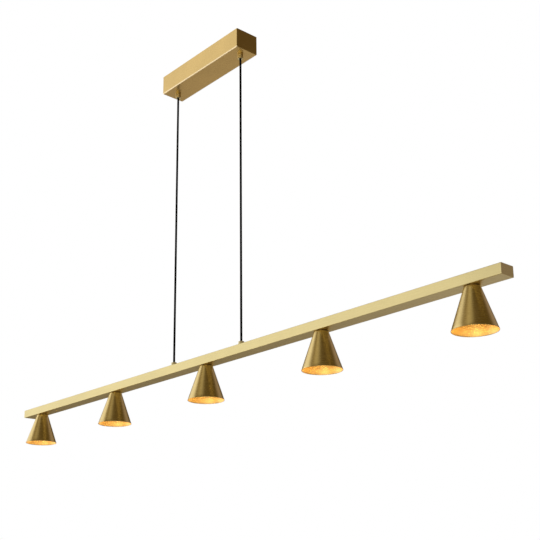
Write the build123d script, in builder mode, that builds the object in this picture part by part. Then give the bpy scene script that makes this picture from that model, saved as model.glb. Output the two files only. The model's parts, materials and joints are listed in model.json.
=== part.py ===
"""Linear island pendant: five conical shades under a bar that hangs on two cables from a box canopy.

Frame: the origin is on the ceiling plane, at the middle of the ceiling bracket. +Z is up and +X runs
along the bar, so the whole pendant lies at z <= 0. Heads are numbered 1 to 5 from -X to +X.
"""
import os

from build123d import *

# ---------------------------------------------------------------- driving dimensions (mm)
# Bar and heads
bar_length = 1600.0
bar_width = 34.0
bar_height = 20.0
bar_wall = 1.5
bar_corner_radius = 1.0
end_cap_thickness = 1.5
end_cap_plug_length = 8.0
end_cap_plug_wall = 1.5
head_count = 5
end_overhang = 72.0

# Shade, a spun cone
shade_mouth_radius = 40.5
shade_top_radius = 14.5
shade_height = 77.0
shade_wall = 1.0
shade_shoulder_radius = 1.2
neck_height = 1.2
neck_radius = 13.0

# Cables and cord grips
grip_inset = 24.0
cable_diameter = 5.0
cable_free_length = 679.0
cable_bend_radius = 18.0
grip_radius = 6.5
grip_edge_round = 0.4
canopy_grip_length = 11.0
bar_grip_length = 10.0
grip_mouth_flare = 0.8
grub_screw_radius = 1.5
grub_screw_hex = 1.5

# Canopy and ceiling bracket, both folded sheet
canopy_length = 290.0
canopy_width = 60.0
canopy_height = 47.0
canopy_wall = 1.2
canopy_bend_radius = 1.6
bracket_width = 36.0
bracket_thickness = 2.0
bracket_bend_radius = 3.0
bracket_foot_length = 32.0
ceiling_slot_spacing = 150.0
ceiling_slot_width = 5.5
ceiling_slot_length = 14.0
cable_entry_radius = 8.0
cable_entry_x = 34.0

# Hollow M10 thread that the grips, nipples and lampholders share, and its nuts
thread_radius = 5.0
thread_bore_radius = 3.5
nut_across_flats = 14.0
nut_height = 3.0
washer_radius = 8.0
washer_thickness = 1.0
nipple_rise_in_bar = 6.5
socket_thread_depth = 6.0
shank_margin = 1.2

# Lampholder and two-pin capsule lamp
socket_radius = 9.0
socket_boss_radius = 7.2
socket_boss_height = 8.0
socket_height = 20.0
pin_spacing = 9.0
pin_width = 3.0
pin_thickness = 0.9
pin_length = 8.0
lamp_base_radius = 7.6
lamp_base_height = 9.0
lamp_dome_radius = 7.0
lamp_length = 34.0
dome_seat_depth = 1.5

# Mains terminal block
pole_count = 3
pole_pitch = 10.0
block_length = 18.0
block_height = 12.0
block_hump_width = 8.0
block_hump_radius = 3.5
pole_bore_radius = 1.6
clamp_screw_radius = 1.6
clamp_screw_offset = 4.5
clamp_screw_length = 3.6
fixing_screw_radius = 1.3
fixing_head_radius = 2.4
fixing_head_height = 1.6
screw_slot_width = 0.6
screw_slot_depth = 0.7
earth_screw_x = -36.0
earth_screw_radius = 2.0
earth_head_radius = 3.6
earth_head_height = 2.4
earth_tag_radius = 4.2
earth_tag_thickness = 0.8

# Cores and bar wiring
core_diameter = 1.8
core_gap = 1.2
core_bend_radius = 9.0
core_straight_run = 8.0
core_drop_run = 14.0
link_bend_radius = 3.6
link_straight_run = 4.0
link_drop_run = 9.0
loop_drop = 2.7
loop_bend_radius = 2.1
bus_wire_diameter = 2.0
bus_wire_gap = 1.2
bus_wire_lift = 0.6
lead_diameter = 1.4
tail_sheath_end_left = -46.0
tail_sheath_end_right = 62.0

# Clearances
thread_clearance = 0.1
hole_clearance = 0.2
cable_clearance = 0.2
fit_clearance = 0.15
seat_clearance = 0.3
swing_clearance = 0.8
bracket_end_clearance = 1.8

# ---------------------------------------------------------------- levels and stations
head_pitch = (bar_length - 2 * end_overhang) / (head_count - 1)
cable_spacing = canopy_length - 2 * grip_inset
cable_radius = cable_diameter / 2
core_radius = core_diameter / 2
bus_wire_radius = bus_wire_diameter / 2

canopy_bottom = -canopy_height
canopy_floor = canopy_bottom + canopy_wall
cable_top = canopy_bottom - canopy_grip_length
cable_bottom = cable_top - cable_free_length
bar_top = cable_bottom - bar_grip_length
bar_bottom = bar_top - bar_height
shade_top = bar_bottom - neck_height
socket_top = shade_top - shade_wall - nut_height
socket_bottom = socket_top - socket_height
nipple_top = bar_bottom + nipple_rise_in_bar
nipple_bottom = socket_top - socket_thread_depth + seat_clearance
lamp_top = socket_bottom - seat_clearance
lamp_bottom = lamp_top - lamp_length
bus_wire_level = nipple_top + bus_wire_lift + bus_wire_radius

bracket_length = canopy_length - 2 * canopy_wall - 2 * bracket_end_clearance
bracket_height = -canopy_floor
foot_top = canopy_floor + bracket_thickness
tail_level = -bracket_thickness - block_height - cable_radius
pole_level = -bracket_thickness - block_height / 2
earth_pole_y = pole_pitch * (pole_count - 1) / 2

grip_stations = [-cable_spacing / 2, cable_spacing / 2]
head_stations = [(i - (head_count - 1) / 2) * head_pitch for i in range(head_count)]
sides = {"left": grip_stations[0], "right": grip_stations[1]}

os.makedirs("parts", exist_ok=True)


# ---------------------------------------------------------------- helpers
def save(piece, name):
    """Label a finished piece and write it as its own file."""
    piece.part.label = name
    export_step(piece.part, f"parts/{name}.step")


def side_plane(x=0.0, z=0.0):
    """Plane seen from the front (local x = +X, local y = +Z) with its origin on a piece's axis."""
    return Plane(origin=(x, 0, z), x_dir=(1, 0, 0), z_dir=(0, -1, 0))


def upright_axis(x):
    return Axis((x, 0, 0), (0, 0, 1))


def rings(stations, bottom, top, outer_radius, inner_radius):
    """Plain rings or washers round vertical axes at the given stations along X."""
    with BuildPart() as group:
        with BuildSketch(Plane.XY.offset(bottom)):
            with Locations(*[(x, 0) for x in stations]):
                Circle(outer_radius)
                Circle(inner_radius, mode=Mode.SUBTRACT)
        extrude(amount=top - bottom)
    return group


def cord_grip(x, face, body_length, shank_length, direction):
    """Cord grip turned from bar: a plain body, a hollow threaded shank and a flared cable mouth.

    face is where the body sits on the sheet, and direction is +1 where the body stands up from it.
    """
    mouth = face + direction * body_length
    shank_end = face - direction * shank_length
    bore = cable_radius + cable_clearance
    with BuildPart() as grip:
        with BuildSketch(side_plane(x)):
            with BuildLine():
                Polyline(
                    (bore, shank_end),
                    (thread_radius, shank_end),
                    (thread_radius, face),
                    (grip_radius, face),
                    (grip_radius, mouth),
                    (bore + grip_mouth_flare, mouth),
                    (bore, mouth - direction * grip_mouth_flare),
                    close=True,
                )
            make_face()
        revolve(axis=upright_axis(x))
        rim = grip.edges().filter_by(GeomType.CIRCLE).filter_by(lambda e: abs(e.radius - grip_radius) < 1e-6)
        fillet(rim, radius=grip_edge_round)
        with BuildSketch(Plane(origin=(x, 0, (face + mouth) / 2), z_dir=(0, 1, 0))):
            Circle(grub_screw_radius + thread_clearance)
        extrude(amount=grip_radius, mode=Mode.SUBTRACT)
    return grip


def grub_screws(level):
    """Hexagon-socket grub screws at the back of a pair of grips, bearing on the cables."""
    depth = grip_radius - cable_radius - grip_edge_round
    with BuildPart() as screws:
        for x in grip_stations:
            tip = Plane(origin=(x, cable_radius, level), z_dir=(0, 1, 0))
            with BuildSketch(tip):
                Circle(grub_screw_radius)
            extrude(amount=depth)
            with BuildSketch(tip.offset(depth)):
                RegularPolygon(grub_screw_hex / 2, 6, major_radius=False)
            extrude(amount=-grub_screw_hex, mode=Mode.SUBTRACT)
    return screws


def wire(points, radius, bends):
    """Round wire or cable along straight runs joined by tangent arcs."""
    with BuildPart() as run:
        with BuildLine() as route:
            FilletPolyline(*points, radius=bends)
        start = route.line
        with BuildSketch(Plane(origin=start @ 0, z_dir=start % 0)):
            Circle(radius)
        sweep()
    return run


# ---------------------------------------------------------------- canopy body
# Ceiling bracket: a folded strip, flat on the ceiling, with two feet turned in at the bottom.
with BuildPart() as ceiling_bracket:
    with BuildSketch(Plane.XZ):
        with Locations((0, -bracket_height / 2)):
            RectangleRounded(bracket_length, bracket_height, bracket_bend_radius)
            RectangleRounded(
                bracket_length - 2 * bracket_thickness,
                bracket_height - 2 * bracket_thickness,
                bracket_bend_radius - bracket_thickness,
                mode=Mode.SUBTRACT,
            )
        with Locations((0, canopy_floor + bracket_thickness / 2)):
            Rectangle(bracket_length - 2 * bracket_foot_length, bracket_thickness, mode=Mode.SUBTRACT)
    extrude(amount=bracket_width / 2, both=True)
    with BuildSketch(Plane.XY):
        with GridLocations(ceiling_slot_spacing, 0, 2, 1):
            SlotOverall(ceiling_slot_length, ceiling_slot_width)
        with Locations((cable_entry_x, 0)):
            Circle(cable_entry_radius)
        with GridLocations(0, pole_pitch, 1, pole_count - 1):
            Circle(fixing_screw_radius + thread_clearance)
        with Locations((earth_screw_x, earth_pole_y)):
            Circle(earth_screw_radius + thread_clearance)
    extrude(amount=-bracket_thickness, mode=Mode.SUBTRACT)
    with BuildSketch(Plane.XY.offset(canopy_floor)):
        with GridLocations(cable_spacing, 0, 2, 1):
            Circle(thread_radius + hole_clearance)
    extrude(amount=bracket_thickness, mode=Mode.SUBTRACT)
save(ceiling_bracket, "ceiling_bracket")

# Canopy cover: a box folded from one sheet, open at the ceiling, clamped under the feet by the grips.
with BuildPart() as canopy_cover:
    with BuildSketch(Plane.XY.offset(canopy_bottom)):
        Rectangle(canopy_length, canopy_width)
    extrude(amount=canopy_height)
    bends = canopy_cover.edges().filter_by(Axis.Z) + canopy_cover.faces().sort_by(Axis.Z)[0].edges()
    fillet(bends, radius=canopy_bend_radius)
    offset(amount=-canopy_wall, openings=canopy_cover.faces().sort_by(Axis.Z)[-1])
    with BuildSketch(Plane.XY.offset(canopy_bottom)):
        with GridLocations(cable_spacing, 0, 2, 1):
            Circle(thread_radius + hole_clearance)
    extrude(amount=canopy_wall, mode=Mode.SUBTRACT)
save(canopy_cover, "canopy_cover")

# Canopy grips hang below the cover; their shanks pass the cover and the foot into a washer and nut.
canopy_shank_length = canopy_wall + bracket_thickness + washer_thickness + nut_height + shank_margin
for side, x in sides.items():
    grip = cord_grip(x, canopy_bottom, canopy_grip_length, canopy_shank_length, -1)
    save(grip, f"canopy_grip_{side}")

washer_top = foot_top + washer_thickness
foot_washers = rings(grip_stations, foot_top, washer_top, washer_radius, thread_radius + hole_clearance)
save(foot_washers, "canopy_grip_washers")

with BuildPart() as canopy_grip_nuts:
    with BuildSketch(Plane.XY.offset(washer_top)):
        with GridLocations(cable_spacing, 0, 2, 1):
            RegularPolygon(nut_across_flats / 2, 6, major_radius=False)
            Circle(thread_radius + thread_clearance, mode=Mode.SUBTRACT)
    extrude(amount=nut_height)
save(canopy_grip_nuts, "canopy_grip_nuts")
save(grub_screws(canopy_bottom - canopy_grip_length / 2), "canopy_grip_screws")

# Terminal block: one hump for each pole, a wire bore through each and two clamp screws from below.
block_top = -bracket_thickness
block_bottom = block_top - block_height
fixing_seat = block_top - block_height / 2
with BuildPart() as terminal_block:
    with BuildSketch(Plane.YZ):
        with GridLocations(pole_pitch, 0, pole_count, 1):
            with Locations((0, pole_level)):
                RectangleRounded(block_hump_width, block_height, block_hump_radius)
        with Locations((0, block_top - block_height / 4)):
            Rectangle(pole_count * pole_pitch, block_height / 2)
    extrude(amount=block_length / 2, both=True)
    with BuildSketch(Plane.YZ):
        with GridLocations(pole_pitch, 0, pole_count, 1):
            with Locations((0, pole_level)):
                Circle(pole_bore_radius)
    extrude(amount=block_length / 2, both=True, mode=Mode.SUBTRACT)
    with BuildSketch(Plane.XY.offset(block_bottom)):
        with GridLocations(2 * clamp_screw_offset, pole_pitch, 2, pole_count):
            Circle(clamp_screw_radius + thread_clearance)
    extrude(amount=pole_level - block_bottom, mode=Mode.SUBTRACT)
    with BuildSketch(Plane.XY.offset(block_top)):
        with GridLocations(0, pole_pitch, 1, pole_count - 1):
            Circle(fixing_screw_radius + thread_clearance)
    extrude(amount=-block_height, mode=Mode.SUBTRACT)
    with BuildSketch(Plane.XY.offset(fixing_seat)):
        with GridLocations(0, pole_pitch, 1, pole_count - 1):
            Circle(fixing_head_radius + hole_clearance)
    extrude(amount=block_bottom - fixing_seat, mode=Mode.SUBTRACT)
save(terminal_block, "terminal_block")

# Clamp screws press on the cores from below.
clamp_tip = pole_level - core_radius - seat_clearance
with BuildPart() as terminal_clamp_screws:
    with BuildSketch(Plane.XY.offset(clamp_tip)):
        with GridLocations(2 * clamp_screw_offset, pole_pitch, 2, pole_count):
            Circle(clamp_screw_radius)
    extrude(amount=-clamp_screw_length)
    with BuildSketch(Plane.XY.offset(clamp_tip - clamp_screw_length)):
        with GridLocations(2 * clamp_screw_offset, pole_pitch, 2, pole_count):
            Rectangle(2 * clamp_screw_radius, screw_slot_width)
    extrude(amount=screw_slot_depth, mode=Mode.SUBTRACT)
save(terminal_clamp_screws, "terminal_clamp_screws")

# Fixing screws hold the block up to the bracket, between the poles.
with BuildPart() as terminal_fixing_screws:
    with BuildSketch(Plane.XY):
        with GridLocations(0, pole_pitch, 1, pole_count - 1):
            Circle(fixing_screw_radius)
    extrude(amount=fixing_seat)
    with BuildSketch(Plane.XY.offset(fixing_seat)):
        with GridLocations(0, pole_pitch, 1, pole_count - 1):
            Circle(fixing_head_radius)
    extrude(amount=-fixing_head_height)
    with BuildSketch(Plane.XY.offset(fixing_seat - fixing_head_height)):
        with GridLocations(0, pole_pitch, 1, pole_count - 1):
            Rectangle(2 * fixing_head_radius, screw_slot_width)
    extrude(amount=screw_slot_depth, mode=Mode.SUBTRACT)
save(terminal_fixing_screws, "terminal_fixing_screws")

# Earth screw and the tag under its head, at the bracket's underside.
with BuildPart() as earth_screw:
    with BuildSketch(Plane.XY):
        with Locations((earth_screw_x, earth_pole_y)):
            Circle(earth_screw_radius)
    extrude(amount=-bracket_thickness - earth_tag_thickness)
    with BuildSketch(Plane.XY.offset(-bracket_thickness - earth_tag_thickness)):
        with Locations((earth_screw_x, earth_pole_y)):
            Circle(earth_head_radius)
    extrude(amount=-earth_head_height)
    with BuildSketch(Plane.XY.offset(-bracket_thickness - earth_tag_thickness - earth_head_height)):
        with Locations((earth_screw_x, earth_pole_y)):
            Rectangle(2 * earth_head_radius, screw_slot_width)
    extrude(amount=screw_slot_depth, mode=Mode.SUBTRACT)
save(earth_screw, "earth_screw")

with BuildPart() as earth_tag:
    with BuildSketch(Plane.XY.offset(-bracket_thickness)):
        with Locations((earth_screw_x, earth_pole_y)):
            Circle(earth_tag_radius)
        with Locations((earth_screw_x + earth_tag_radius, earth_pole_y)):
            Rectangle(2 * earth_tag_radius, core_diameter)
        with Locations((earth_screw_x, earth_pole_y)):
            Circle(earth_screw_radius + hole_clearance, mode=Mode.SUBTRACT)
    extrude(amount=-earth_tag_thickness)
save(earth_tag, "earth_tag")

# Cable tails run up through the canopy grips and bend inwards under the bracket.
tail_bottom = cable_top + swing_clearance
for side, x in sides.items():
    sheath_end = tail_sheath_end_left if side == "left" else tail_sheath_end_right
    tail = wire([(x, 0, tail_bottom), (x, 0, tail_level), (sheath_end, 0, tail_level)], cable_radius,
                cable_bend_radius)
    save(tail, f"canopy_cable_tail_{side}")

# Cores go on from the sheaths into the poles: live and neutral from the left, earth from the right.
core_inset = block_length / 2 - clamp_screw_offset / 2


def core_to_pole(sheath_end, sheath_y, pole_y):
    """Single core from a cable's cut sheath into the near end of one pole's bore."""
    inward = -1 if sheath_end > 0 else 1
    spread_start = sheath_end + inward * core_straight_run
    points = [
        (sheath_end, sheath_y, tail_level),
        (spread_start, sheath_y, tail_level),
        (spread_start + inward * core_drop_run, pole_y, pole_level),
        (-inward * core_inset, pole_y, pole_level),
    ]
    return wire(points, core_radius, core_bend_radius)


save(core_to_pole(tail_sheath_end_left, -core_gap, -pole_pitch), "canopy_live_core")
save(core_to_pole(tail_sheath_end_left, core_gap, 0), "canopy_neutral_core")
save(core_to_pole(tail_sheath_end_right, 0, earth_pole_y), "canopy_earth_core")

tag_barrel = earth_screw_x + 2 * earth_tag_radius
tag_wire_level = -bracket_thickness - earth_tag_thickness - core_radius
earth_link_points = [
    (tag_barrel - link_straight_run, earth_pole_y, tag_wire_level),
    (tag_barrel + link_straight_run, earth_pole_y, tag_wire_level),
    (tag_barrel + link_straight_run + link_drop_run, earth_pole_y, pole_level),
    (-core_inset, earth_pole_y, pole_level),
]
save(wire(earth_link_points, core_radius, link_bend_radius), "earth_link_wire")

# ---------------------------------------------------------------- suspension cables
for side, x in sides.items():
    with BuildPart() as cable:
        with BuildSketch(Plane.XY.offset(cable_bottom)):
            with Locations((x, 0)):
                Circle(cable_radius)
        extrude(amount=cable_free_length)
    save(cable, f"cable_{side}")

# ---------------------------------------------------------------- bar
tube_length = bar_length - 2 * end_cap_thickness
with BuildPart() as bar_tube:
    with BuildSketch(Plane.YZ.offset(-tube_length / 2)):
        with Locations((0, (bar_top + bar_bottom) / 2)):
            RectangleRounded(bar_width, bar_height, bar_corner_radius)
            Rectangle(bar_width - 2 * bar_wall, bar_height - 2 * bar_wall, mode=Mode.SUBTRACT)
    extrude(amount=tube_length)
    with BuildSketch(Plane.XY.offset(bar_top)):
        with Locations(*[(x, 0) for x in grip_stations]):
            Circle(thread_radius + hole_clearance)
    extrude(amount=-bar_wall, mode=Mode.SUBTRACT)
    with BuildSketch(Plane.XY.offset(bar_bottom)):
        with Locations(*[(x, 0) for x in head_stations]):
            Circle(thread_radius + hole_clearance)
    extrude(amount=bar_wall, mode=Mode.SUBTRACT)
save(bar_tube, "bar_tube")

# End caps close the tube flush with its outside, each with a hollow plug that fits inside.
plug_width = bar_width - 2 * bar_wall - 2 * fit_clearance
plug_height = bar_height - 2 * bar_wall - 2 * fit_clearance
for side, sign in {"left": -1, "right": 1}.items():
    with BuildPart() as end_cap:
        with BuildSketch(Plane.YZ.offset(sign * tube_length / 2)):
            with Locations((0, (bar_top + bar_bottom) / 2)):
                RectangleRounded(bar_width, bar_height, bar_corner_radius)
        extrude(amount=sign * end_cap_thickness)
        with BuildSketch(Plane.YZ.offset(sign * tube_length / 2)):
            with Locations((0, (bar_top + bar_bottom) / 2)):
                Rectangle(plug_width, plug_height)
                Rectangle(plug_width - 2 * end_cap_plug_wall, plug_height - 2 * end_cap_plug_wall,
                          mode=Mode.SUBTRACT)
        extrude(amount=-sign * end_cap_plug_length)
    save(end_cap, f"bar_end_cap_{side}")

# Bar grips stand on the bar; their shanks pass its top wall into a nut.
bar_shank_length = bar_wall + earth_tag_thickness + nut_height + shank_margin
for side, x in sides.items():
    save(cord_grip(x, bar_top, bar_grip_length, bar_shank_length, 1), f"bar_grip_{side}")
save(grub_screws(bar_top + bar_grip_length / 2), "bar_grip_screws")

# Cable ends inside the bar grips.
end_level = bar_top - bar_shank_length
for side, x in sides.items():
    with BuildPart() as cable_end:
        with BuildSketch(Plane.XY.offset(cable_bottom)):
            with Locations((x, 0)):
                Circle(cable_radius)
        extrude(amount=end_level - cable_bottom)
    save(cable_end, f"bar_cable_end_{side}")

# Bus wires run the length of the bar over the nipples, fed by the left cable's two cores.
bus_wire_y = bus_wire_radius + bus_wire_gap / 2
for name, wire_y in {"bar_live_wire": -bus_wire_y, "bar_neutral_wire": bus_wire_y}.items():
    with BuildPart() as bus_wire:
        with BuildSketch(Plane.YZ.offset(head_stations[0] - bus_wire_radius)):
            with Locations((wire_y, bus_wire_level)):
                Circle(bus_wire_radius)
        extrude(amount=head_stations[-1] - head_stations[0] + 2 * bus_wire_radius)
        with BuildSketch(Plane.XY.offset(bus_wire_level)):
            with Locations((grip_stations[0], wire_y)):
                Circle(lead_diameter / 2)
        extrude(amount=end_level - bus_wire_level)
    save(bus_wire, name)

# Earth: a tag under the right grip's nut, and the right cable's core looped up to it.
tag_top = bar_top - bar_wall
tag_reach = nut_across_flats / 2 + earth_tag_radius
with BuildPart() as bar_earth_tag:
    with BuildSketch(Plane.XY.offset(tag_top)):
        with Locations((grip_stations[1], 0)):
            Circle(washer_radius)
        with Locations((grip_stations[1] + tag_reach / 2, 0)):
            Rectangle(tag_reach, 2 * core_diameter)
        with Locations((grip_stations[1], 0)):
            Circle(thread_radius + hole_clearance, mode=Mode.SUBTRACT)
    extrude(amount=-earth_tag_thickness)
save(bar_earth_tag, "bar_earth_tag")

loop_level = end_level - loop_drop
loop_x = grip_stations[1] + tag_reach - core_radius
earth_loop = [
    (grip_stations[1], 0, end_level),
    (grip_stations[1], 0, loop_level),
    (loop_x, 0, loop_level),
    (loop_x, 0, tag_top - earth_tag_thickness),
]
save(wire(earth_loop, core_radius, loop_bend_radius), "bar_earth_wire")

# ---------------------------------------------------------------- heads
# Hollow nipples join bar, neck, shade and lampholder; nuts lock them inside the bar and the shade.
nipples = rings(head_stations, nipple_bottom, nipple_top, thread_radius, thread_bore_radius)
save(nipples, "nipples")

# Nuts on the shared thread: inside the bar, under each shade's top, and on the two grip shanks.
with BuildPart() as bar_nuts:
    nut_seats = [(x, level) for x in head_stations for level in (bar_bottom + bar_wall, socket_top)]
    nut_seats += [(grip_stations[0], tag_top - nut_height)]
    nut_seats += [(grip_stations[1], tag_top - earth_tag_thickness - nut_height)]
    for x, level in nut_seats:
        with BuildSketch(Plane.XY.offset(level)):
            with Locations((x, 0)):
                RegularPolygon(nut_across_flats / 2, 6, major_radius=False)
                Circle(thread_radius + thread_clearance, mode=Mode.SUBTRACT)
        extrude(amount=nut_height)
save(bar_nuts, "bar_nuts")

# Lampholder leads rise through the nipples to the bus wires.
lead_bottom = socket_top - socket_thread_depth
lead_top = bus_wire_level - bus_wire_radius - hole_clearance
with BuildPart() as lampholder_leads:
    with BuildSketch(Plane.XY.offset(lead_bottom)):
        with Locations(*[(x, y) for x in head_stations for y in (-bus_wire_y, bus_wire_y)]):
            Circle(lead_diameter / 2)
    extrude(amount=lead_top - lead_bottom)
save(lampholder_leads, "lampholder_leads")

for number, x in enumerate(head_stations, start=1):
    collar = rings([x], shade_top, bar_bottom, neck_radius, thread_radius + hole_clearance)
    save(collar, f"neck_{number}")

    # Shade: a straight cone with a rounded shoulder, shelled from its mouth.
    with BuildPart() as shade:
        with BuildSketch(side_plane(x, shade_top)):
            with BuildLine():
                Polyline((0, 0), (shade_top_radius, 0), (shade_mouth_radius, -shade_height),
                         (0, -shade_height), close=True)
            make_face()
        revolve(axis=upright_axis(x))
        fillet(shade.faces().sort_by(Axis.Z)[-1].edges(), radius=shade_shoulder_radius)
        offset(amount=-shade_wall, openings=shade.faces().sort_by(Axis.Z)[0])
        with BuildSketch(Plane.XY.offset(shade_top)):
            with Locations((x, 0)):
                Circle(thread_radius + hole_clearance)
        extrude(amount=-shade_wall, mode=Mode.SUBTRACT)
    save(shade, f"shade_{number}")

    # Lampholder: a ceramic body under a threaded boss, with a slot for each lamp pin.
    with BuildPart() as lampholder:
        with BuildSketch(side_plane(x, socket_top)):
            with BuildLine():
                Polyline(
                    (thread_radius + thread_clearance, 0),
                    (socket_boss_radius, 0),
                    (socket_boss_radius, -socket_boss_height),
                    (socket_radius, -socket_boss_height),
                    (socket_radius, -socket_height),
                    (0, -socket_height),
                    (0, -socket_thread_depth),
                    (thread_radius + thread_clearance, -socket_thread_depth),
                    close=True,
                )
            make_face()
        revolve(axis=upright_axis(x))
        with BuildSketch(Plane.XY.offset(socket_bottom)):
            with Locations((x - pin_spacing / 2, 0), (x + pin_spacing / 2, 0)):
                Rectangle(pin_thickness + 2 * seat_clearance, pin_width + 2 * seat_clearance)
        extrude(amount=pin_length + seat_clearance, mode=Mode.SUBTRACT)
    save(lampholder, f"lampholder_{number}")

    # Lamp: a stepped base with two flat pins, and a capsule dome seated in the base.
    with BuildPart() as lamp_base:
        with BuildSketch(Plane.XY.offset(lamp_top)):
            with Locations((x, 0)):
                Circle(lamp_base_radius)
        extrude(amount=-lamp_base_height)
        with BuildSketch(Plane.XY.offset(lamp_top - lamp_base_height)):
            with Locations((x, 0)):
                Circle(lamp_dome_radius + fit_clearance)
        extrude(amount=dome_seat_depth, mode=Mode.SUBTRACT)
        with BuildSketch(Plane.XY.offset(lamp_top)):
            with Locations((x - pin_spacing / 2, 0), (x + pin_spacing / 2, 0)):
                Rectangle(pin_thickness, pin_width)
        extrude(amount=pin_length)
    save(lamp_base, f"lamp_base_{number}")

    dome_top = lamp_top - lamp_base_height + dome_seat_depth
    with BuildPart() as lamp_dome:
        with BuildSketch(side_plane(x)):
            with BuildLine():
                Line((0, dome_top), (lamp_dome_radius, dome_top))
                Line((lamp_dome_radius, dome_top), (lamp_dome_radius, lamp_bottom + lamp_dome_radius))
                RadiusArc((lamp_dome_radius, lamp_bottom + lamp_dome_radius), (0, lamp_bottom),
                          lamp_dome_radius)
                Line((0, lamp_bottom), (0, dome_top))
            make_face()
        revolve(axis=upright_axis(x))
    save(lamp_dome, f"lamp_dome_{number}")
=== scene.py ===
# %% [markdown]
# # A brass linear pendant, dressed over its fixed frame
# The pendant is a 1.6 m brass bar with five spun cones, hung by two black cables from a box on the ceiling.
# The frame is the measured construction: every tube, nut and joint is already in it, in metres. This lesson
# only dresses it.

# %% Load the frame
import json
import math

import bmesh
import bpy
from mathutils import Matrix, Vector


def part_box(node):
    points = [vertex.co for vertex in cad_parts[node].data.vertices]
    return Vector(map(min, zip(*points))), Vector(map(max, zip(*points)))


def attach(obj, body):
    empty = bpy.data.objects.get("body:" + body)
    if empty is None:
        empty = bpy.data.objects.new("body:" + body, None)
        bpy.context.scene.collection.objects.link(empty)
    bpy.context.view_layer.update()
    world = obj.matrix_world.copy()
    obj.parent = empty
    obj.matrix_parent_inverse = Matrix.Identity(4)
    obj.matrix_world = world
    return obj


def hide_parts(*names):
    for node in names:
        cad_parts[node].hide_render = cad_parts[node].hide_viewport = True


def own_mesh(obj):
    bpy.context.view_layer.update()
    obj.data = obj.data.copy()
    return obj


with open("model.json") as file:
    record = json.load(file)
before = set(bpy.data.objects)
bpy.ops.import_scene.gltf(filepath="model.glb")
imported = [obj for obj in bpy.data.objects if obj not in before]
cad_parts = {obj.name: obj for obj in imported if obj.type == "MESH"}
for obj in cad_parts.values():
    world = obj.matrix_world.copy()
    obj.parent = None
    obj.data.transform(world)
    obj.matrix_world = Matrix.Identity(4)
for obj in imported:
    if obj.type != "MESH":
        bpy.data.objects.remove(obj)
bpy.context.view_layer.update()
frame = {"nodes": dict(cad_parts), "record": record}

# %% [markdown]
# ## Where things are
# Nothing is measured twice. The heads and the cables are found from the boxes of their own nodes, and the
# only sizes written here are those that a box can't tell, such as a wall or a rounded edge.

# %% Stations read from the frame
millimetre = 0.001
head_numbers = range(1, 6)
sides = ("left", "right")


def middle(node_name):
    low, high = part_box(node_name)
    return (Vector(low) + Vector(high)) / 2


def span(node_name):
    low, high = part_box(node_name)
    return Vector(high) - Vector(low)


head_axis = {n: middle(f"shade_{n}") for n in head_numbers}
cable_axis = {side: middle(f"cable_{side}") for side in sides}
print("head spacing mm", round((head_axis[2].x - head_axis[1].x) / millimetre, 1))

# %% [markdown]
# ## The camera
# The photograph looks up at the pendant from the right, from below the bar. The camera's place, its turn and
# its focal length come from fitting the bar's edges and the five mouths. The small upward shift stands for
# the crop of the picture, which leaves the bar low in the frame. Places are in metres, turns in radians.

# %% Camera
photo_width_px = 540
focal_length_px = 993.1
horizon_shift_px = 60.0
camera_place = Vector((1.6915, -1.3146, -1.2888))
camera_turn = 0.8438
camera_tilt = 0.2747
camera_roll = -0.0112
sensor_width_mm = 36.0


def aim(turn, tilt, roll):
    """Rotation of a camera that looks along +Y when turn and tilt are zero."""
    forward = Vector((-math.sin(turn) * math.cos(tilt), math.cos(turn) * math.cos(tilt), math.sin(tilt)))
    level = Vector((math.cos(turn), math.sin(turn), 0))
    upward = level.cross(forward)
    right = math.cos(roll) * level + math.sin(roll) * upward
    up = math.cos(roll) * upward - math.sin(roll) * level
    return Matrix((right, up, -forward)).transposed()


camera_data = bpy.data.cameras.new("photo_camera")
camera_data.sensor_width = sensor_width_mm
camera_data.lens = focal_length_px / photo_width_px * sensor_width_mm
camera_data.shift_y = horizon_shift_px / photo_width_px
camera = bpy.data.objects.new("photo_camera", camera_data)
camera.matrix_world = Matrix.Translation(camera_place) @ aim(camera_turn, camera_tilt, camera_roll).to_4x4()
bpy.context.collection.objects.link(camera)
bpy.context.scene.camera = camera
bpy.context.scene.view_settings.view_transform = "Standard"
print("camera lens mm", round(camera_data.lens, 1))

# %% [markdown]
# ## Small helpers for node trees
# Materials, the world and Geometry Nodes are all trees of nodes. One helper adds a node and plugs its inputs:
# a socket from another node makes a link, and anything else is written on the input itself. The next five
# are the nodes that we use most: a sum on numbers, a sum on vectors, a vector times a number, and one range
# mapped on another, evenly or with soft ends. The last starts a new material.

# %% Node helpers
unit_range = (0.0, 1.0)


def node(tree, kind, inputs=None, **settings):
    """Add a node of a kind, set its settings, and feed its inputs by name or number."""
    made = tree.nodes.new(kind)
    for name, value in settings.items():
        setattr(made, name, value)
    for key, value in (inputs or {}).items():
        if isinstance(value, bpy.types.NodeSocket):
            tree.links.new(value, made.inputs[key])
        else:
            made.inputs[key].default_value = value
    return made


def maths(tree, operation, first, second=0.0):
    return node(tree, "ShaderNodeMath", {0: first, 1: second}, operation=operation).outputs[0]


def vectors(tree, operation, first, second=(0, 0, 0), output="Vector"):
    return node(tree, "ShaderNodeVectorMath", {0: first, 1: second}, operation=operation).outputs[output]


def scaled(tree, vector, factor):
    made = node(tree, "ShaderNodeVectorMath", {0: vector, "Scale": factor}, operation="SCALE")
    return made.outputs["Vector"]


def ranged(tree, value, source, target, **settings):
    """A value that runs over the source range, mapped on the target range and held at its ends."""
    return node(tree, "ShaderNodeMapRange", {"Value": value, "From Min": source[0], "From Max": source[1],
                "To Min": target[0], "To Max": target[1]}, **settings).outputs[0]


def eased(tree, value, source, target=unit_range):
    """The same mapping with soft ends."""
    return ranged(tree, value, source, target, interpolation_type="SMOOTHSTEP")


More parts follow.
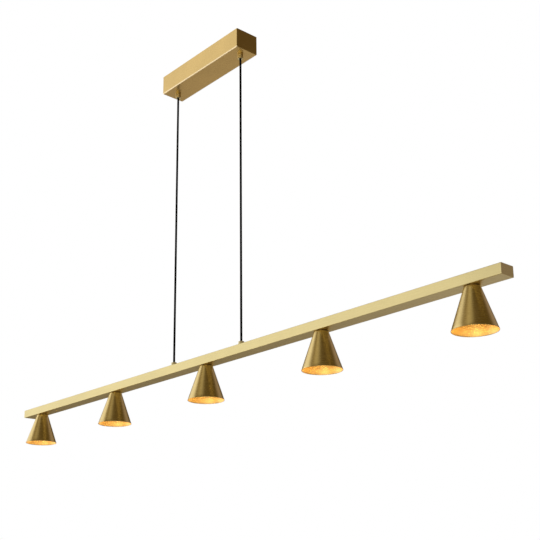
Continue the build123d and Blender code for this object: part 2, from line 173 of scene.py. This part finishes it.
def blank_material(name):
    """A new material, with its tree and its main shader at hand."""
    material = bpy.data.materials.new(name)
    material.use_nodes = True
    return material, material.node_tree, material.node_tree.nodes["Principled BSDF"]


print("node helpers ready")

# %% [markdown]
# ## The studio
# Brushed metal is only as good as what it mirrors. The photograph's brass is bright where it faces the left
# of the studio, mid-toned below, and nearly black at the upper right. We build that room in the world shader
# from soft patches of light, each with a direction, a width and a colour, over a dim warm base. Softboxes as
# area lamps would do too, but patches in the world light every cone alike, however far apart they hang.

# %% The room's soft patches of light
room_tone = (0.092, 0.063, 0.019)
patches = [  # name, azimuth, elevation, core angle, outer angle, colour
    ("left_wall", 205, 6, 32, 45, (0.93, 0.97, 1.06)),
    ("left_high", 246, 50, 6, 28, (0.15, 0.13, 0.09)),
    ("light_band", 275, 53, 3, 19, (0.38, 0.37, 0.31)),
    ("right_back", 74, 20, 8, 30, (0.27, 0.24, 0.28)),
    ("below_back", 146, -42, 8, 33, (0.39, 0.38, 0.40)),
    ("low_back", 106, -24, 6, 33, (0.32, 0.31, 0.33)),
    ("low_left_front", 204, -42, 6, 20, (1.80, 1.75, 1.60)),
    ("low_front", 296, -24, 6, 24, (1.20, 1.15, 0.80)),
    ("front_right", 312, -6, 14, 40, (0.40, 0.40, 0.40)),
    ("back", 96, -8, 6, 24, (0.30, 0.30, 0.30)),
    ("right", 5, -6, 8, 26, (0.40, 0.40, 0.40)),
    ("front", 268, -8, 8, 24, (0.36, 0.35, 0.31)),
    ("back_high", 125, 52, 10, 32, (0.50, 0.48, 0.42)),
    ("overhead", 0, 90, 8, 24, (0.50, 0.50, 0.50)),
    ("below", 0, -90, 14, 38, (0.35, 0.35, 0.35)),
]


def heading(azimuth, elevation):
    """Unit vector of a direction in degrees, azimuth counter-clockwise from +X."""
    around, above = math.radians(azimuth), math.radians(elevation)
    return Vector((math.cos(around) * math.cos(above), math.sin(around) * math.cos(above), math.sin(above)))


def patch_light(tree, direction, azimuth, elevation, core, width, colour):
    """Colour of one soft patch, even inside its core angle and gone at its width, both in degrees."""
    facing = vectors(tree, "DOT_PRODUCT", direction, heading(azimuth, elevation), "Value")
    edges = [math.cos(math.radians(angle)) for angle in (width, core)]
    return scaled(tree, colour, eased(tree, facing, edges))


print("patches", [name for name, *_ in patches])

# %% [markdown]
# ## The world shader
# The patches are added up over the room's tone. The camera sees plain white paper instead, as in the
# photograph, and so would anything clear. The brass mirrors the room itself, because a white surround would
# take all its shading away. For matt surfaces the room is a little dimmer.

# %% World: white paper for the camera, the room for the object
white = (1, 1, 1, 1)
fill_level = 0.95


def clear_ray(tree):
    """1 for a ray from the camera or through something clear, 0 for any other."""
    ray = node(tree, "ShaderNodeLightPath").outputs
    return maths(tree, "MAXIMUM", ray["Is Camera Ray"], ray["Is Transmission Ray"])


world = bpy.data.worlds.new("studio")
world.use_nodes = True
bpy.context.scene.world = world
tree = world.node_tree
tree.nodes.clear()
direction = node(tree, "ShaderNodeTexCoord").outputs["Generated"]
room = room_tone
for _, *place, colour in patches:
    room = vectors(tree, "ADD", room, patch_light(tree, direction, *place, colour))
seen = clear_ray(tree)
mirrored = node(tree, "ShaderNodeLightPath").outputs["Is Glossy Ray"]
paper = node(tree, "ShaderNodeMix", {"Factor": seen, "A": room, "B": white[:3]}, data_type="VECTOR")
level = ranged(tree, maths(tree, "MAXIMUM", seen, mirrored), unit_range, (fill_level, 1.0))
backdrop = node(tree, "ShaderNodeBackground", {"Color": paper.outputs["Result"], "Strength": level})
node(tree, "ShaderNodeOutputWorld", {"Surface": backdrop.outputs[0]})
print("world nodes", len(tree.nodes))

# %% [markdown]
# ## The floor
# The pendant hangs at the height of a ceiling, so its floor lies far below. A plain disc gives views from
# above something to stand over, and it needs no more than its rim.

# %% Floor disc
floor_drop = 2.45
floor_radius = 2.2
floor_sides = 64
floor_turns = [math.tau * side / floor_sides for side in range(floor_sides)]
floor_rim = [(floor_radius * math.cos(t), floor_radius * math.sin(t), -floor_drop) for t in floor_turns]
floor_mesh = bpy.data.meshes.new("floor")
floor_mesh.from_pydata(floor_rim, [], [tuple(range(floor_sides))])
floor = bpy.data.objects.new("floor", floor_mesh)
bpy.context.collection.objects.link(floor)
print("floor at", -floor_drop)

# %% [markdown]
# ## The floor's paper
# It is pale and matt, and towards its edge it turns into plain white light for the camera, so that it melts
# into the paper round it and no rim shows. Its back is clear, because a view from straight below would
# otherwise show nothing but floor. The floor is staged, so it doesn't count as a piece of the pendant.

# %% Pale paper for the floor
floor_tone = (0.9, 0.9, 0.9, 1)
floor_roughness = 0.9
floor_glow = 0.5
floor_plain_radius = 1.2
floor_white_radius = 0.97 * floor_radius


def own_place(tree):
    """The piece's own coordinates in metres, which travel with it when a joint moves."""
    return node(tree, "ShaderNodeTexCoord").outputs["Object"]


floor_paper, tree, floor_shader = blank_material("floor_paper")
floor_shader.inputs["Base Color"].default_value = floor_tone
floor_shader.inputs["Roughness"].default_value = floor_roughness
floor_shader.inputs["Emission Color"].default_value = white
seen = clear_ray(tree)
tree.links.new(maths(tree, "MULTIPLY", seen, floor_glow), floor_shader.inputs["Emission Strength"])
reach = vectors(tree, "DISTANCE", own_place(tree), (0, 0, -floor_drop), "Value")
edge = eased(tree, reach, (floor_plain_radius, floor_white_radius))
light = node(tree, "ShaderNodeEmission", {"Color": white, "Strength": 1.0})
front = node(tree, "ShaderNodeMixShader", {0: maths(tree, "MULTIPLY", seen, edge),
             1: floor_shader.outputs[0], 2: light.outputs[0]})
back = node(tree, "ShaderNodeNewGeometry").outputs["Backfacing"]
clear = node(tree, "ShaderNodeBsdfTransparent")
one_sided = node(tree, "ShaderNodeMixShader", {0: back, 1: front.outputs[0], 2: clear.outputs[0]})
tree.links.new(one_sided.outputs[0], tree.nodes["Material Output"].inputs["Surface"])
floor_mesh.materials.append(floor_paper)
print("floor plain to", floor_plain_radius, "white from", round(floor_white_radius, 3))

# %% [markdown]
# ## Brushed brass
# The sheet is satin brass: a metal whose grain runs one way, along the bar and round each cone. The grain is
# a noise squeezed across the brushing and drawn out along it. It works on the roughness and a faint bump,
# while a slow noise moves the colour a little, as lacquer does. An anisotropic shader could do it too, but
# it needs tangents that a folded box doesn't have.

# %% A brushed metal
brass_roughness = 0.30
roughness_swing = 0.05
streaking = 0.012
grain_detail, grain_breakup = 3.0, 0.6
cloud_scale, cloud_detail = 14.0, 2.0
noise_range = (0.3, 0.7)
bump_distance = 0.2 * millimetre


def noise(tree, place, scale, detail, breakup=0.5):
    """A noise from about 0 to 1, coarse where its scale is small."""
    return node(tree, "ShaderNodeTexNoise", {"Vector": place, "Scale": scale, "Detail": detail,
                "Roughness": breakup}).outputs["Fac"]


def around_one(tree, value, source, swing):
    """A value mapped on the range that lies this far below and above 1."""
    return ranged(tree, value, source, (1 - swing, 1 + swing))


def plug_in(tree, shader, colour, rough, relief, depth):
    """Feed a finish's colour, roughness and faint bump to its shader."""
    bump = node(tree, "ShaderNodeBump", {"Height": relief, "Strength": depth, "Distance": bump_distance})
    tree.links.new(colour, shader.inputs["Base Color"])
    tree.links.new(rough, shader.inputs["Roughness"])
    tree.links.new(bump.outputs[0], shader.inputs["Normal"])


def brushed_brass(name, grain_scale, colour, roughness=brass_roughness, grain_depth=0.035, clouding=0.035):
    """Satin metal whose grain is long where its scale is small and fine where it is large."""
    material, tree, shader = blank_material(name)
    shader.inputs["Metallic"].default_value = 1.0
    place = own_place(tree)
    drawn = node(tree, "ShaderNodeMapping", {"Vector": place, "Scale": grain_scale}).outputs[0]
    grain = noise(tree, drawn, 1.0, grain_detail, grain_breakup)
    cloud = noise(tree, place, cloud_scale, cloud_detail)
    tint = around_one(tree, cloud, noise_range, clouding)
    streak = around_one(tree, grain, noise_range, streaking)
    shade = scaled(tree, colour, maths(tree, "MULTIPLY", tint, streak))
    rough = ranged(tree, grain, noise_range, (roughness - roughness_swing, roughness + roughness_swing))
    plug_in(tree, shader, shade, rough, grain, grain_depth)
    return material


print("brass roughness", brass_roughness)

# %% [markdown]
# ## Four tones of brass
# The bar is the palest and greenest, the cones are a little warmer, and the canopy is the most golden, as
# its lacquer is in the photograph. Each tone is written once, with the direction of its grain. The turned
# grips have no bump, since they are bright-turned and not brushed.

# %% Brass for the bar, its ends, the cones, the canopy and the grips
grain_along_bar = (9.0, 2600.0, 2600.0)
grain_round_cone = (25.0, 25.0, 2600.0)
grain_end_face = (2600.0, 30.0, 2600.0)
bar_colour = (0.81, 0.67, 0.31)
cone_colour = (0.82, 0.620, 0.25)
canopy_colour = (0.73, 0.505, 0.18)
grip_colour = (0.84, 0.72, 0.40)
grip_roughness = 0.44
bar_brass = brushed_brass("bar_brass", grain_along_bar, bar_colour)
end_brass = brushed_brass("end_brass", grain_end_face, bar_colour)
cone_brass = brushed_brass("cone_brass", grain_round_cone, cone_colour, grain_depth=0.02)
canopy_brass = brushed_brass("canopy_brass", grain_along_bar, canopy_colour, clouding=0.05)
grip_brass = brushed_brass("grip_brass", grain_round_cone, grip_colour, grip_roughness, grain_depth=0.0)
print("brass finishes", [m.name for m in (bar_brass, end_brass, cone_brass, canopy_brass, grip_brass)])

# %% [markdown]
# ## Two places where light and shade are painted into the finish
# The canopy's two long folds get a painted highlight: a pale colour mixed in along them, so that each shows
# a thin pale line. Inside a cone, the lining is painted darker above the rim, as painted shade, so that the
# light inside reads brightest near the rim. Both are one job: a share, from 0 to 1, that says where, and a
# colour to mix in there. The share reads the piece's own coordinates, so it stays put when the pendant
# swings.

# %% Painted highlight on the folds and painted shade in the cones' lining
lining_colour = Vector((0.95, 0.73, 0.31))
lining_roughness = 0.48
# Painted shade: higher inside the cone the lining is darkened to this share of its colour, fading in between
# the two heights above the mouth.
painted_shade_tone = 0.33
painted_shade_from, painted_shade_to = 5 * millimetre, 21 * millimetre
# Painted highlight: a pale colour mixed into the canopy's brass along its two long folds.
fold_highlight_colour = (1.0, 0.80, 0.48)
highlight_full, highlight_gone = 1.7 * millimetre, 2.9 * millimetre


def touch_up(material, share, colour):
    """Mix a colour into a finish by a share."""
    tree = material.node_tree
    base = tree.nodes["Principled BSDF"].inputs["Base Color"]
    mixed = node(tree, "ShaderNodeMix", {"Factor": share, "A": base.links[0].from_socket, "B": colour},
                 data_type="VECTOR")
    tree.links.new(mixed.outputs["Result"], base)


def fold_highlight_share(tree, corner_y, corner_z):
    """1 on the two lower folds that run along X, where the highlight is painted, fading out with the distance
    from their corner line.
    """
    folded = vectors(tree, "ABSOLUTE", own_place(tree))
    section = vectors(tree, "MULTIPLY", folded, (0, 1, 1))
    apart = vectors(tree, "DISTANCE", section, (0, corner_y, abs(corner_z)), "Value")
    return eased(tree, apart, (highlight_full, highlight_gone), (1.0, 0.0))


def height_share(tree, low, high):
    """0 below the first height, 1 above the second."""
    height = node(tree, "ShaderNodeSeparateXYZ", {0: own_place(tree)}).outputs["Z"]
    return eased(tree, height, (low, high))


canopy_low, canopy_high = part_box("canopy_cover")
# The canopy's folds get the painted highlight, a thin pale line along each.
touch_up(canopy_brass, fold_highlight_share(canopy_brass.node_tree, canopy_high[1], canopy_low[2]), fold_highlight_colour)
cone_lining = brushed_brass("cone_lining", grain_round_cone, lining_colour, lining_roughness, grain_depth=0.0)
mouth_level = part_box("shade_1")[0][2]
# Painted shade: the lining is darker higher up inside the cone, so that it reads brightest near the rim.
painted_shade_share = height_share(cone_lining.node_tree, mouth_level + painted_shade_from, mouth_level + painted_shade_to)
touch_up(cone_lining, painted_shade_share, lining_colour * painted_shade_tone)
print("fold line at mm", round(canopy_high[1] / millimetre, 1), round(canopy_low[2] / millimetre, 1))

# %% [markdown]
# ## The wash of light inside a cone
# Lamp light bounces many times inside a cone and ends as an even amber wash, which fades at the cut edge.
# Tracing all those bounces is slow and grainy, so the lining gives off that wash itself, and the lamp only
# adds what lies on top of it. The wash is a stand-in, so it stays when a lamp is pulled. It isn't sampled as
# a light, because the lamps need the rays.

# %% Glow of the lining
wash_colour = (1.0, 0.42, 0.065)
wash_level = 0.50
wash_above = 0.55
edge_from, edge_to = 0.2 * millimetre, 2.4 * millimetre


def give_glow(material, share, colour, level, sampling):
    """Let a finish give off light by a share, and say whether its rays are sampled as a lamp's are."""
    tree = material.node_tree
    shader = tree.nodes["Principled BSDF"]
    tree.links.new(scaled(tree, colour, share), shader.inputs["Emission Color"])
    shader.inputs["Emission Strength"].default_value = level
    material.cycles.emission_sampling = sampling


tree = cone_lining.node_tree
fading = ranged(tree, painted_shade_share, unit_range, (1.0, wash_above))
off_the_edge = height_share(tree, mouth_level + edge_from, mouth_level + edge_to)
give_glow(cone_lining, maths(tree, "MULTIPLY", fading, off_the_edge), wash_colour, wash_level, "NONE")
print("wash starts at mm above the mouth", edge_from / millimetre)

# %% [markdown]
# ## Plain finishes
# The collars, the cables and the pieces inside are quieter: dark bronze, black yarn, zinc-plated steel,
# ceramic, moulded polyamide, wire insulation. The collars' dark bronze is painted shade for the shadowed gap
# between bar and cone. Each still has its own roughness break-up, made by one helper.

# %% Plain finishes
plain_detail = 4.0
plain_depth = 0.05
braid_specular = 0.05


def finish_of(name, colour, roughness, metallic=0.0, speckle=40.0, variation=0.06):
    """Plain finish with a slow change of tone and roughness."""
    material, tree, shader = blank_material(name)
    shader.inputs["Metallic"].default_value = metallic
    cloud = noise(tree, own_place(tree), speckle, plain_detail)
    shade = scaled(tree, colour, around_one(tree, cloud, unit_range, variation))
    rough = ranged(tree, cloud, unit_range, (roughness - variation, roughness + variation))
    plug_in(tree, shader, shade, rough, cloud, plain_depth)
    return material


finishes = {
    # The collars are real spacers; their dark bronze is painted shade for the shadowed gap between bar and
    # cone.
    "dark_bronze": finish_of("dark_bronze", (0.20, 0.13, 0.045), 0.40, 0.9),
    "zinc_steel": finish_of("zinc_steel", (0.50, 0.52, 0.54), 0.36, 1.0, 60.0),
    "white_ceramic": finish_of("white_ceramic", (0.80, 0.78, 0.73), 0.55),
    "natural_polyamide": finish_of("natural_polyamide", (0.78, 0.76, 0.70), 0.45),
    "nickel_plate": finish_of("nickel_plate", (0.66, 0.63, 0.57), 0.22, 1.0),
    "brown_core": finish_of("brown_core", (0.09, 0.03, 0.012), 0.40),
    "blue_core": finish_of("blue_core", (0.01, 0.06, 0.30), 0.40),
    "green_yellow_core": finish_of("green_yellow_core", (0.25, 0.45, 0.03), 0.40),
    "black_braid": finish_of("black_braid", (0.006, 0.006, 0.006), 0.90),
    "satin_brass": bar_brass,
}
braid_shader = finishes["black_braid"].node_tree.nodes["Principled BSDF"]
braid_shader.inputs["Specular IOR Level"].default_value = braid_specular
print("finishes", len(finishes))

# %% [markdown]
# ## Light from the lamps
# Each frosted capsule is lit, because the photograph shows the cones glowing inside. The capsule hides above
# the rim, so all we see of it is warm light on the brass, with a hot patch near the rim. We let the
# capsule's tip glow, and its sides only faintly, because the light has to reach the far wall low down. A
# point lamp in each head would do as well, but it wouldn't travel with the model.

# %% Lit dome
dome_colour = (0.95, 0.9, 0.8, 1)
dome_roughness = 0.5
lamp_colour = (1.0, 0.55, 0.17)
lamp_strength = 105.0
lamp_tip_glow = 5.0 * millimetre
lamp_side_share = 0.04
lit_dome, tree, dome_shader = blank_material("lit_dome")
dome_shader.inputs["Base Color"].default_value = dome_colour
dome_shader.inputs["Roughness"].default_value = dome_roughness
dome_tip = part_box("lamp_dome_1")[0][2]
above_tip = height_share(tree, dome_tip, dome_tip + lamp_tip_glow)
glow = ranged(tree, above_tip, unit_range, (1.0, lamp_side_share))
give_glow(lit_dome, glow, lamp_colour, lamp_strength, "FRONT")
finishes["frosted_dome"] = lit_dome
print("lamp strength", lamp_strength)

# %% [markdown]
# ## Dress the frame's own pieces
# A piece whose shape is right keeps its mesh and only gets a finish. The record names a finish for each
# node, and the few that differ are set one by one.

# %% Give every node its finish
slot_of = {s["node"]: s["material_slot"] for s in frame["record"]["subparts"]}
for name, obj in frame["nodes"].items():
    obj.data.materials.clear()
    obj.data.materials.append(finishes[slot_of[name]])
for side in sides:
    frame["nodes"][f"bar_end_cap_{side}"].data.materials[0] = end_brass
    frame["nodes"][f"canopy_grip_{side}"].data.materials[0] = grip_brass
    frame["nodes"][f"bar_grip_{side}"].data.materials[0] = grip_brass
frame["nodes"]["canopy_cover"].data.materials[0] = canopy_brass
print("dressed nodes", len(slot_of))

# %% [markdown]
# ## From a Geometry Nodes tree to a plain mesh
# The cones and the cables each follow a rule, so Geometry Nodes make them. Another ends a tree with its
# finish. The third puts the tree on an object, writes its inputs, takes the evaluated mesh and drops the
# modifier, so that what is left is an ordinary mesh that any program can read.

# %% Helpers for Geometry Nodes
weld_distance = 0.001 * millimetre
crease_angle = math.radians(60)


def declare(tree, **wanted):
    """Give a tree named inputs of these kinds and one output, and return the inputs' sockets."""
    for name, kind in wanted.items():
        tree.interface.new_socket(name, in_out="INPUT", socket_type=f"NodeSocket{kind}")
    tree.interface.new_socket("Piece", in_out="OUTPUT", socket_type="NodeSocketGeometry")
    return tree.nodes.new("NodeGroupInput").outputs


def painted_output(tree, geometry, finish):
    """End a tree: make instances real, give it its finish, and hand it out."""
    real = node(tree, "GeometryNodeRealizeInstances", {"Geometry": geometry})
    painted = node(tree, "GeometryNodeSetMaterial", {"Geometry": real.outputs[0], "Material": finish})
    node(tree, "NodeGroupOutput", {"Piece": painted.outputs[0]})


def outward(mesh):
    """Merge doubles, turn faces outwards and keep real edges sharp."""
    work = bmesh.new()
    work.from_mesh(mesh)
    bmesh.ops.remove_doubles(work, verts=work.verts, dist=weld_distance)
    bmesh.ops.recalc_face_normals(work, faces=work.faces)
    for face in work.faces:
        face.smooth = True
    for edge in work.edges:
        edge.smooth = len(edge.link_faces) == 2 and edge.calc_face_angle(0) < crease_angle
    work.to_mesh(mesh)
    work.free()


def grown(name, tree, inputs, source=None):
    """Object with the plain mesh that a tree makes from these inputs."""
    piece = bpy.data.objects.new(name, source or bpy.data.meshes.new(name))
    bpy.context.collection.objects.link(piece)
    modifier = piece.modifiers.new(tree.name, "NODES")
    modifier.node_group = tree
    for item in tree.interface.items_tree:
        if item.item_type == "SOCKET" and item.in_out == "INPUT" and item.name in inputs:
            modifier[item.identifier] = inputs[item.name]
    solid = bpy.data.meshes.new_from_object(piece.evaluated_get(bpy.context.evaluated_depsgraph_get()))
    piece.modifiers.clear()
    piece.data = solid
    outward(solid)
    return piece


print("geometry helpers ready")

# %% [markdown]
# ## A tree that spins a profile
# A spun cone is a profile swung round an axis, and the tree does just that. The object's own mesh is the
# profile, a chain of points. A grid gets one row for each of them, and each row is wrapped into a ring. The
# seam is closed by merging.

# %% Spin tree


def spin_tree():
    tree = bpy.data.node_groups.new("spin_profile", "GeometryNodeTree")
    given = declare(tree, Profile="Geometry", Segments="Int", Rows="Int", Centre="Vector", Finish="Material")
    columns = maths(tree, "ADD", given["Segments"], 1.0)
    grid = node(tree, "GeometryNodeMeshGrid", {"Vertices X": columns, "Vertices Y": given["Rows"]})
    number = node(tree, "GeometryNodeInputIndex").outputs[0]
    row = maths(tree, "MODULO", number, given["Rows"])
    column = maths(tree, "FLOOR", maths(tree, "DIVIDE", number, given["Rows"]))
    angle = maths(tree, "MULTIPLY", maths(tree, "DIVIDE", column, given["Segments"]), math.tau)
    spot = node(tree, "GeometryNodeInputPosition").outputs[0]
    point = node(tree, "GeometryNodeSampleIndex", {"Geometry": given["Profile"], "Value": spot, "Index": row},
                 data_type="FLOAT_VECTOR", domain="POINT")
    swung = node(tree, "ShaderNodeVectorRotate", {"Vector": point.outputs["Value"], "Axis": (0, 0, 1),
                 "Angle": angle}, rotation_type="AXIS_ANGLE")
    placed = vectors(tree, "ADD", swung.outputs[0], given["Centre"])
    shaped = node(tree, "GeometryNodeSetPosition", {"Geometry": grid.outputs["Mesh"], "Position": placed})
    closed = node(tree, "GeometryNodeMergeByDistance", {"Geometry": shaped.outputs[0],
                  "Distance": weld_distance})
    painted_output(tree, closed.outputs[0], given["Finish"])
    return tree


spin = spin_tree()
print("spin tree nodes", len(spin.nodes))

# %% [markdown]
# ## The section of a cone
# Each shade is spun from one sheet: a flat top with a hole, a rounded shoulder, a straight cone, and an edge
# that is dressed round after cutting. The wall is real, because the light inside runs along its inner face.
# Straight stretches are cut into short ones, which keeps the long thin faces from bending the reflections.

# %% Section of the sheet
shade_wall = 1.0 * millimetre
shade_top_radius = 14.5 * millimetre
shade_hole_radius = 5.2 * millimetre
shoulder_radius = 1.2 * millimetre
straight_steps = 12
bend_steps = 8
inner_bend_steps = 5


def arc(centre, radius, start, stop, steps):
    """Points of a round stretch of a profile, angles in degrees."""
    turns = [math.radians(start + (stop - start) * i / steps) for i in range(steps + 1)]
    return [(centre[0] + radius * math.cos(t), centre[1] + radius * math.sin(t)) for t in turns]


def between(start, stop):
    """Points inside a straight stretch of a profile."""
    shares = [i / straight_steps for i in range(1, straight_steps)]
    return [tuple(a + (b - a) * share for a, b in zip(start, stop)) for share in shares]


def shade_profile(mouth_radius, height):
    """Closed section of the cone's sheet, from the hole in its top round the rim and back inside."""
    slope = math.atan2(mouth_radius - shade_top_radius, height)
    slope_degrees = math.degrees(slope)
    inset = shoulder_radius * math.tan((math.pi / 2 - slope) / 2)
    shoulder = (shade_top_radius - inset, -shoulder_radius)
    outside = arc(shoulder, shoulder_radius, 90, slope_degrees, bend_steps)
    rim_heart = (mouth_radius - shade_wall / 2 * math.cos(slope), -height + shade_wall / 2)
    rim = arc(rim_heart, shade_wall / 2, slope_degrees, slope_degrees - 180, bend_steps)
    inside = arc(shoulder, shoulder_radius - shade_wall, slope_degrees, 90, inner_bend_steps)
    outer_wall, inner_wall = between(outside[-1], rim[0]), between(rim[-1], inside[0])
    hole_edge = [(shade_hole_radius, -shade_wall)]
    return [(shade_hole_radius, 0)] + outside + outer_wall + rim + inner_wall + inside + hole_edge


print("profile points", len(shade_profile(span("shade_1").x / 2, span("shade_1").z)))

# %% [markdown]
# ## The five cones
# The outside is lacquered and the inside has the finish of the lining. A face belongs to the lining when it
# looks towards the axis, so we find those by their normals once the mesh is closed.

# %% Spun cones
cone_segments = 128


def line_inside(mesh, top, lining):
    """Give the faces below the top sheet that look at the axis the lining's finish."""
    mesh.materials.append(lining)
    for face in mesh.polygons:
        looks_in = (face.center.xy - top.xy).dot(face.normal.xy) < 0
        if looks_in and face.center.z < top.z - shade_wall:
            face.material_index = len(mesh.materials) - 1


for n in head_numbers:
    size = span(f"shade_{n}")
    top = Vector((head_axis[n].x, head_axis[n].y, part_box(f"shade_{n}")[1][2]))
    section = shade_profile(size.x / 2, size.z)
    outline = bpy.data.meshes.new("cone_section")
    outline.from_pydata([(r, 0, z) for r, z in section + section[:1]], [], [])
    cone = grown(f"spun_shade_{n}", spin, {"Segments": cone_segments, "Rows": len(section) + 1,
                 "Centre": tuple(top), "Finish": cone_brass}, outline)
    line_inside(cone.data, top, cone_lining)
    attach(cone, "bar")
    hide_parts(f"shade_{n}")
print("cones", len(head_axis), "triangles each", sum(len(p.vertices) - 2 for p in cone.data.polygons))

# %% [markdown]
# ## A tree that braids a tube
# Each cable is textile over insulation. The braid is two families of yarns that wind opposite ways, and each
# family is a wave that climbs as it goes round. The surface follows whichever wave is higher, so the yarns
# are real relief and not only shading. Sweeping every yarn would need many times the faces for the same look
# at this size.

# %% Braid tree


def braid_tree():
    tree = bpy.data.node_groups.new("braided_tube", "GeometryNodeTree")
    given = declare(tree, Sides="Int", Rings="Int", Radius="Float", Length="Float", Middle="Vector",
                    Yarns="Int", Pitch="Float", Relief="Float", Finish="Material")
    tube = node(tree, "GeometryNodeMeshCylinder", {"Vertices": given["Sides"],
                "Side Segments": given["Rings"], "Radius": given["Radius"], "Depth": given["Length"]},
                fill_type="NGON")
    spot = node(tree, "GeometryNodeInputPosition").outputs[0]
    x, y, z = node(tree, "ShaderNodeSeparateXYZ", {0: spot}).outputs
    round_turn = maths(tree, "MULTIPLY", maths(tree, "ARCTAN2", y, x), given["Yarns"])
    half_turn = maths(tree, "MULTIPLY", round_turn, 0.5)
    climb = maths(tree, "MULTIPLY", z, maths(tree, "DIVIDE", math.tau, given["Pitch"]))
    waves = [maths(tree, "COSINE", maths(tree, way, half_turn, climb)) for way in ("ADD", "SUBTRACT")]
    higher = maths(tree, "MAXIMUM", *[maths(tree, "MULTIPLY", wave, wave) for wave in waves])
    dip = maths(tree, "MULTIPLY", given["Relief"], maths(tree, "SUBTRACT", 1.0, higher))
    share = maths(tree, "SUBTRACT", 1.0, maths(tree, "DIVIDE", dip, given["Radius"]))
    squeeze = node(tree, "ShaderNodeCombineXYZ", {"X": share, "Y": share, "Z": 1.0}).outputs[0]
    placed = vectors(tree, "ADD", vectors(tree, "MULTIPLY", spot, squeeze), given["Middle"])
    shaped = node(tree, "GeometryNodeSetPosition", {"Geometry": tube.outputs["Mesh"], "Position": placed})
    painted_output(tree, shaped.outputs[0], given["Finish"])
    return tree


braid = braid_tree()
print("braid tree nodes", len(braid.nodes))

# %% [markdown]
# ## The two cables
# A cable is pulled straight by the bar's weight, so it is one taut length from grip to grip, and the same on
# both sides. When the bar is raised, the spare cable goes up through the canopy's grip. A stretch can't
# vanish into a grip here, so it shortens towards the canopy instead, which looks the same from outside. The
# braid stops a hair above the cable's end in the bar, so that the two faces never rub as the bar moves.

# %% Braided cables
cable_sides = 48
cable_rings = 960
yarns_each_way = 8
braid_pitch = 9.0 * millimetre
braid_relief = 0.10 * millimetre
end_gap = 0.05 * millimetre
for side in sides:
    low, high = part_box(f"cable_{side}")
    length, diameter = high[2] - low[2], high[0] - low[0]
    axis = cable_axis[side]
    heart = (axis.x, axis.y, axis.z + end_gap / 2)
    cable = grown(f"braided_cable_{side}", braid, {"Sides": cable_sides, "Rings": cable_rings,
                  "Radius": diameter / 2, "Length": length - end_gap, "Middle": heart,
                  "Yarns": yarns_each_way, "Pitch": braid_pitch, "Relief": braid_relief,
                  "Finish": finishes["black_braid"]})
    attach(cable, "cables")
    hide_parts(f"cable_{side}")
    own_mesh(cable)
print("cable length m", round(length, 4), "faces", len(cable.data.polygons))
